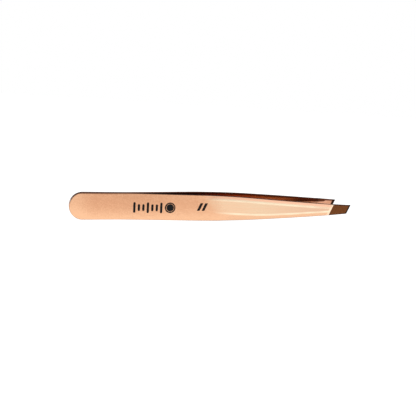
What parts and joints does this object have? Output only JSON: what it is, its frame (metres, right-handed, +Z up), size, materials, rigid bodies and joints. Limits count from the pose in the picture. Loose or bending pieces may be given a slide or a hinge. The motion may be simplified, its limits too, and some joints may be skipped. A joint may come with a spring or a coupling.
{
  "type": "slant tweezers",
  "caption": "Slant-tip tweezers: two bowed spring leaves welded at a round heel, with slanted ground claws that close together.",
  "frame": {"origin": "under the middle of the length, between the leaves, at the level of the lower long edges that the tweezers lie on", "axes": "+X runs from the heel to the tips, +Y across the opening from the printed front leaf to the rear leaf, +Z up along the leaves' width"},
  "size_m": [0.095, 0.0128, 0.0083],
  "materials": {
    "plated_steel": "rose-gold plating on stainless steel: bead-blasted satin on the handle, fine lengthwise brushing towards the tips, polished claws",
    "weld": "fused steel, hidden between the leaves",
    "ink": "matt black pad-printed ink"
  },
  "bodies": {
    "heel": {"front_heel": "plated_steel", "rear_heel": "plated_steel", "front_spring_root": "plated_steel", "rear_spring_root": "plated_steel", "weld_nuggets": "weld"},
    "front_arm": {"front_arm": "plated_steel", "ink_ticks": "ink", "ink_target": "ink", "ink_slant_bars": "ink"},
    "rear_arm": {"rear_arm": "plated_steel"}
  },
  "joints": [
    {"name": "front_squeeze", "type": "hinge", "parent": "heel", "child": "front_arm", "pos_m": [-0.03173, -0.00071, 0.00417], "axis": [0, 0, 1], "range_deg": [0, 3.61], "stiffness_Nm_per_rad": 1.3, "deforming": ["front_spring_root"]},
    {"name": "rear_squeeze", "type": "hinge", "parent": "heel", "child": "rear_arm", "pos_m": [-0.03173, 0.00071, 0.00417], "axis": [0, 0, 1], "range_deg": [-3.61, 0], "stiffness_Nm_per_rad": 1.3, "deforming": ["rear_spring_root"]}
  ],
  "couplings": [
    {"joint": "rear_squeeze", "follows": "front_squeeze", "ratio": -1}
  ]
}
